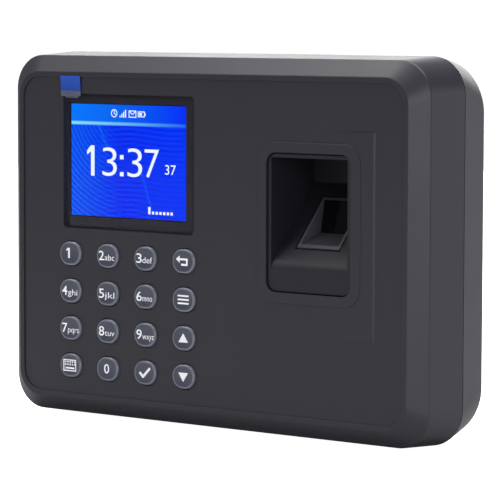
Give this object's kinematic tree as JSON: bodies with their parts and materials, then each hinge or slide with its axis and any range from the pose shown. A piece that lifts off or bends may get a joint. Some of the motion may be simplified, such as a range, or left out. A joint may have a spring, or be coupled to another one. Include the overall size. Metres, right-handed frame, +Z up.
{
  "type": "fingerprint time terminal",
  "caption": "Wall-mounted fingerprint time terminal: bevelled two-shell case with a colour display, a keypad at the left and a recessed finger well at the right.",
  "frame": {"origin": "middle of the wall bracket's rear face, on the wall plane", "axes": "+Y into the wall, so the front faces -Y; +Z up; +X to the right seen from the front"},
  "size_m": [0.196, 0.0409, 0.1401],
  "materials": {
    "front_plastic": "fine moulded grain",
    "rear_plastic": "fine moulded grain",
    "guide_plastic": "fine moulded grain",
    "sensor_plastic": "satin",
    "clear_pane": "clear, printed black border",
    "clear_film": "clear protective film",
    "blue_film": "printed film",
    "foam": "closed-cell foam",
    "display_glass": "colour display",
    "pressed_steel": "plated",
    "key_rubber": "translucent silicone, printed legends",
    "circuit_board": "solder mask",
    "screw_steel": "zinc plated",
    "sensor_glass": "polished",
    "prism_glass": "polished",
    "chip_plastic": "moulded epoxy",
    "part_ceramic": "ceramic",
    "connector_plastic": "moulded nylon",
    "cell_steel": "plated",
    "port_steel": "plated",
    "pin_brass": "plated",
    "flex_film": "polyimide film",
    "cable_plastic": "ribbon cable",
    "speaker_body": "moulded basket and steel magnet",
    "bracket_steel": "galvanised sheet"
  },
  "bodies": {
    "terminal": {"front_shell": "front_plastic", "rear_shell": "rear_plastic", "display_window": "clear_pane", "window_film": "clear_film", "film_pull_tab": "blue_film", "window_gasket": "foam", "lcd_panel": "display_glass", "lcd_tray": "pressed_steel", "keypad_mat": "key_rubber", "keypad_board": "circuit_board", "keypad_screws": "screw_steel", "finger_guide": "guide_plastic", "sensor_frame": "sensor_plastic", "sensor_window": "sensor_glass", "sensor_prism": "prism_glass", "sensor_board": "circuit_board", "sensor_screws": "screw_steel", "main_board": "circuit_board", "board_chips": "chip_plastic", "board_passives": "part_ceramic", "board_connectors": "connector_plastic", "board_screws": "screw_steel", "battery_holder": "chip_plastic", "coin_cell": "cell_steel", "usb_socket": "port_steel", "usb_tongue": "chip_plastic", "dc_jack": "chip_plastic", "dc_jack_pin": "pin_brass", "lcd_flex": "flex_film", "sensor_cable": "cable_plastic", "speaker_gasket": "foam", "speaker": "speaker_body", "case_screws": "screw_steel", "wall_bracket": "bracket_steel", "bracket_lock_screw": "screw_steel"},
    "key_1": {"key_1": "key_rubber"},
    "key_2": {"key_2": "key_rubber"},
    "key_3": {"key_3": "key_rubber"},
    "key_4": {"key_4": "key_rubber"},
    "key_5": {"key_5": "key_rubber"},
    "key_6": {"key_6": "key_rubber"},
    "key_7": {"key_7": "key_rubber"},
    "key_8": {"key_8": "key_rubber"},
    "key_9": {"key_9": "key_rubber"},
    "key_0": {"key_0": "key_rubber"},
    "key_back": {"key_back": "key_rubber"},
    "key_menu": {"key_menu": "key_rubber"},
    "key_up": {"key_up": "key_rubber"},
    "key_down": {"key_down": "key_rubber"},
    "key_confirm": {"key_confirm": "key_rubber"},
    "key_input": {"key_input": "key_rubber"}
  },
  "joints": [
    {"name": "key_1_press", "type": "slide", "parent": "terminal", "child": "key_1", "axis": [0, 1, 0], "range_m": [0, 0.0008], "stiffness_N_per_m": 500},
    {"name": "key_2_press", "type": "slide", "parent": "terminal", "child": "key_2", "axis": [0, 1, 0], "range_m": [0, 0.0008], "stiffness_N_per_m": 500},
    {"name": "key_3_press", "type": "slide", "parent": "terminal", "child": "key_3", "axis": [0, 1, 0], "range_m": [0, 0.0008], "stiffness_N_per_m": 500},
    {"name": "key_4_press", "type": "slide", "parent": "terminal", "child": "key_4", "axis": [0, 1, 0], "range_m": [0, 0.0008], "stiffness_N_per_m": 500},
    {"name": "key_5_press", "type": "slide", "parent": "terminal", "child": "key_5", "axis": [0, 1, 0], "range_m": [0, 0.0008], "stiffness_N_per_m": 500},
    {"name": "key_6_press", "type": "slide", "parent": "terminal", "child": "key_6", "axis": [0, 1, 0], "range_m": [0, 0.0008], "stiffness_N_per_m": 500},
    {"name": "key_7_press", "type": "slide", "parent": "terminal", "child": "key_7", "axis": [0, 1, 0], "range_m": [0, 0.0008], "stiffness_N_per_m": 500},
    {"name": "key_8_press", "type": "slide", "parent": "terminal", "child": "key_8", "axis": [0, 1, 0], "range_m": [0, 0.0008], "stiffness_N_per_m": 500},
    {"name": "key_9_press", "type": "slide", "parent": "terminal", "child": "key_9", "axis": [0, 1, 0], "range_m": [0, 0.0008], "stiffness_N_per_m": 500},
    {"name": "key_0_press", "type": "slide", "parent": "terminal", "child": "key_0", "axis": [0, 1, 0], "range_m": [0, 0.0008], "stiffness_N_per_m": 500},
    {"name": "key_back_press", "type": "slide", "parent": "terminal", "child": "key_back", "axis": [0, 1, 0], "range_m": [0, 0.0008], "stiffness_N_per_m": 500},
    {"name": "key_menu_press", "type": "slide", "parent": "terminal", "child": "key_menu", "axis": [0, 1, 0], "range_m": [0, 0.0008], "stiffness_N_per_m": 500},
    {"name": "key_up_press", "type": "slide", "parent": "terminal", "child": "key_up", "axis": [0, 1, 0], "range_m": [0, 0.0008], "stiffness_N_per_m": 500},
    {"name": "key_down_press", "type": "slide", "parent": "terminal", "child": "key_down", "axis": [0, 1, 0], "range_m": [0, 0.0008], "stiffness_N_per_m": 500},
    {"name": "key_confirm_press", "type": "slide", "parent": "terminal", "child": "key_confirm", "axis": [0, 1, 0], "range_m": [0, 0.0008], "stiffness_N_per_m": 500},
    {"name": "key_input_press", "type": "slide", "parent": "terminal", "child": "key_input", "axis": [0, 1, 0], "range_m": [0, 0.0008], "stiffness_N_per_m": 500}
  ]
}
